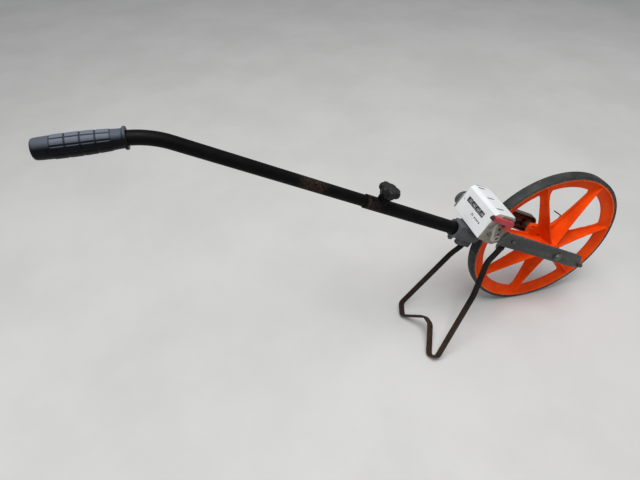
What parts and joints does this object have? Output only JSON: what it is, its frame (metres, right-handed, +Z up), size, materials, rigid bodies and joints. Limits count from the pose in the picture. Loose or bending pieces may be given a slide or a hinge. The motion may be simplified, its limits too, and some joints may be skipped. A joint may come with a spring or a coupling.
{
  "type": "measuring wheel",
  "caption": "Walking distance wheel: spoked wheel with rubber tyre, side fork, belt driven drum counter with reset lever, telescopic handle with clamp knob and folding kickstand.",
  "frame": {"origin": "middle of the outline seen from above, on the floor under the tyre and the kickstand's feet", "axes": "+Z up, +X forward along the ground toward the wheel, the handle toward -X, the wheel's axle along Y, the reset lever on the -Y side"},
  "size_m": [1.006, 0.1998, 0.519],
  "materials": {
    "orange_plastic": "moulded, satin",
    "black_rubber": "worn tread",
    "grip_rubber": "moulded, slightly shiny",
    "dark_paint": "satin dark grey paint",
    "black_paint": "satin black paint, worn",
    "rusty_paint": "black paint with rust",
    "cast_metal": "cast, matt",
    "dark_casting": "grey painted casting",
    "bright_steel": "zinc plated",
    "white_plastic": "moulded, satin",
    "clear_plastic": "clear window",
    "black_plastic": "moulded",
    "red_plastic": "moulded, satin",
    "belt_rubber": "matt",
    "bearing_plastic": "moulded, ivory"
  },
  "bodies": {
    "frame": {"counter_base": "cast_metal", "near_arm": "dark_paint", "far_arm_housing": "dark_paint", "axle_bolt": "bright_steel", "near_axle_washer": "bright_steel", "far_axle_washer": "bright_steel", "axle_nut": "bright_steel", "near_axle_spacer": "bright_steel", "far_axle_spacer": "bright_steel", "arm_nose_plug": "black_rubber", "near_arm_screw": "bright_steel", "far_arm_screw": "bright_steel", "counter_cover": "white_plastic", "counter_lens": "clear_plastic", "near_plate_screw": "bright_steel", "far_plate_screw": "bright_steel", "pinion_shaft": "bright_steel", "drive_belt": "belt_rubber", "pointer_wire": "black_paint", "reset_lever_pin": "bright_steel", "reset_lever_spring": "bright_steel", "handle_socket": "dark_casting", "lower_tube": "black_paint", "clamp_boss": "black_paint", "near_socket_screw": "bright_steel", "far_socket_screw": "bright_steel", "socket_set_screw": "bright_steel", "near_stand_bolt": "black_paint", "near_stand_nut": "black_paint", "far_stand_bolt": "black_paint", "far_stand_nut": "black_paint"},
    "wheel": {"wheel_moulding": "orange_plastic", "tyre": "black_rubber", "near_hub_bush": "bearing_plastic", "far_hub_bush": "bearing_plastic", "hub_pulley": "black_plastic"},
    "counter_input": {"counter_pulley": "black_plastic", "input_shaft": "bright_steel", "input_gear": "bearing_plastic"},
    "units": {"units_drum": "black_plastic", "counter_shaft": "bright_steel", "counter_gear": "bearing_plastic"},
    "tens": {"tens_drum": "black_plastic"},
    "hundreds": {"hundreds_drum": "black_plastic"},
    "thousands": {"thousands_drum": "black_plastic"},
    "tens_transfer": {"tens_pinion": "bearing_plastic"},
    "hundreds_transfer": {"hundreds_pinion": "bearing_plastic"},
    "thousands_transfer": {"thousands_pinion": "bearing_plastic"},
    "reset": {"reset_lever": "red_plastic"},
    "clamp": {"clamp_knob": "black_plastic", "clamp_screw": "bright_steel"},
    "handle": {"upper_tube": "black_paint", "grip": "grip_rubber", "tube_guide_bush": "bearing_plastic"},
    "stand": {"kickstand": "rusty_paint"}
  },
  "joints": [
    {"name": "wheel_spin", "type": "hinge", "parent": "frame", "child": "wheel", "pos_m": [0.34386, 0.02427, 0.15918], "axis": [0, 1, 0], "continuous": true},
    {"name": "counter_input_spin", "type": "hinge", "parent": "frame", "child": "counter_input", "pos_m": [0.17599, 0.02427, 0.25335], "axis": [0, 1, 0], "continuous": true},
    {"name": "units_spin", "type": "hinge", "parent": "frame", "child": "units", "pos_m": [0.18363, 0.02427, 0.26854], "axis": [0, 1, 0], "continuous": true},
    {"name": "tens_spin", "type": "hinge", "parent": "frame", "child": "tens", "pos_m": [0.18363, 0.02427, 0.26854], "axis": [0, 1, 0], "continuous": true},
    {"name": "hundreds_spin", "type": "hinge", "parent": "frame", "child": "hundreds", "pos_m": [0.18363, 0.02427, 0.26854], "axis": [0, 1, 0], "continuous": true},
    {"name": "thousands_spin", "type": "hinge", "parent": "frame", "child": "thousands", "pos_m": [0.18363, 0.02427, 0.26854], "axis": [0, 1, 0], "continuous": true},
    {"name": "tens_transfer_spin", "type": "hinge", "parent": "frame", "child": "tens_transfer", "pos_m": [0.19504, 0.02427, 0.25373], "axis": [0, 1, 0], "continuous": true},
    {"name": "hundreds_transfer_spin", "type": "hinge", "parent": "frame", "child": "hundreds_transfer", "pos_m": [0.19504, 0.02427, 0.25373], "axis": [0, 1, 0], "continuous": true},
    {"name": "thousands_transfer_spin", "type": "hinge", "parent": "frame", "child": "thousands_transfer", "pos_m": [0.19504, 0.02427, 0.25373], "axis": [0, 1, 0], "continuous": true},
    {"name": "reset_press", "type": "hinge", "parent": "frame", "child": "reset", "pos_m": [0.2042, -0.02973, 0.27504], "axis": [0, -1, 0], "range_deg": [0, 12], "stiffness_Nm_per_rad": 0.6, "springref_deg": -8.59},
    {"name": "clamp_turn", "type": "hinge", "parent": "frame", "child": "clamp", "pos_m": [-0.02366, 0.02427, 0.32038], "axis": [0.4756, 0, 0.8796], "range_deg": [0, 180]},
    {"name": "handle_slide", "type": "slide", "parent": "frame", "child": "handle", "axis": [-0.8796, 0, 0.4756], "range_m": [-0.11, 0.08]},
    {"name": "stand_fold", "type": "hinge", "parent": "frame", "child": "stand", "pos_m": [0.20863, 0.02427, 0.21069], "axis": [0, 1, 0], "range_deg": [0, 66]}
  ],
  "couplings": [
    {"joint": "counter_input_spin", "follows": "wheel_spin", "ratio": 1},
    {"joint": "units_spin", "follows": "wheel_spin", "ratio": -1},
    {"joint": "tens_spin", "follows": "wheel_spin", "ratio": -0.1},
    {"joint": "hundreds_spin", "follows": "wheel_spin", "ratio": -0.01},
    {"joint": "thousands_spin", "follows": "wheel_spin", "ratio": -0.001},
    {"joint": "tens_transfer_spin", "follows": "wheel_spin", "ratio": 0.25},
    {"joint": "hundreds_transfer_spin", "follows": "wheel_spin", "ratio": 0.025},
    {"joint": "thousands_transfer_spin", "follows": "wheel_spin", "ratio": 0.0025}
  ]
}
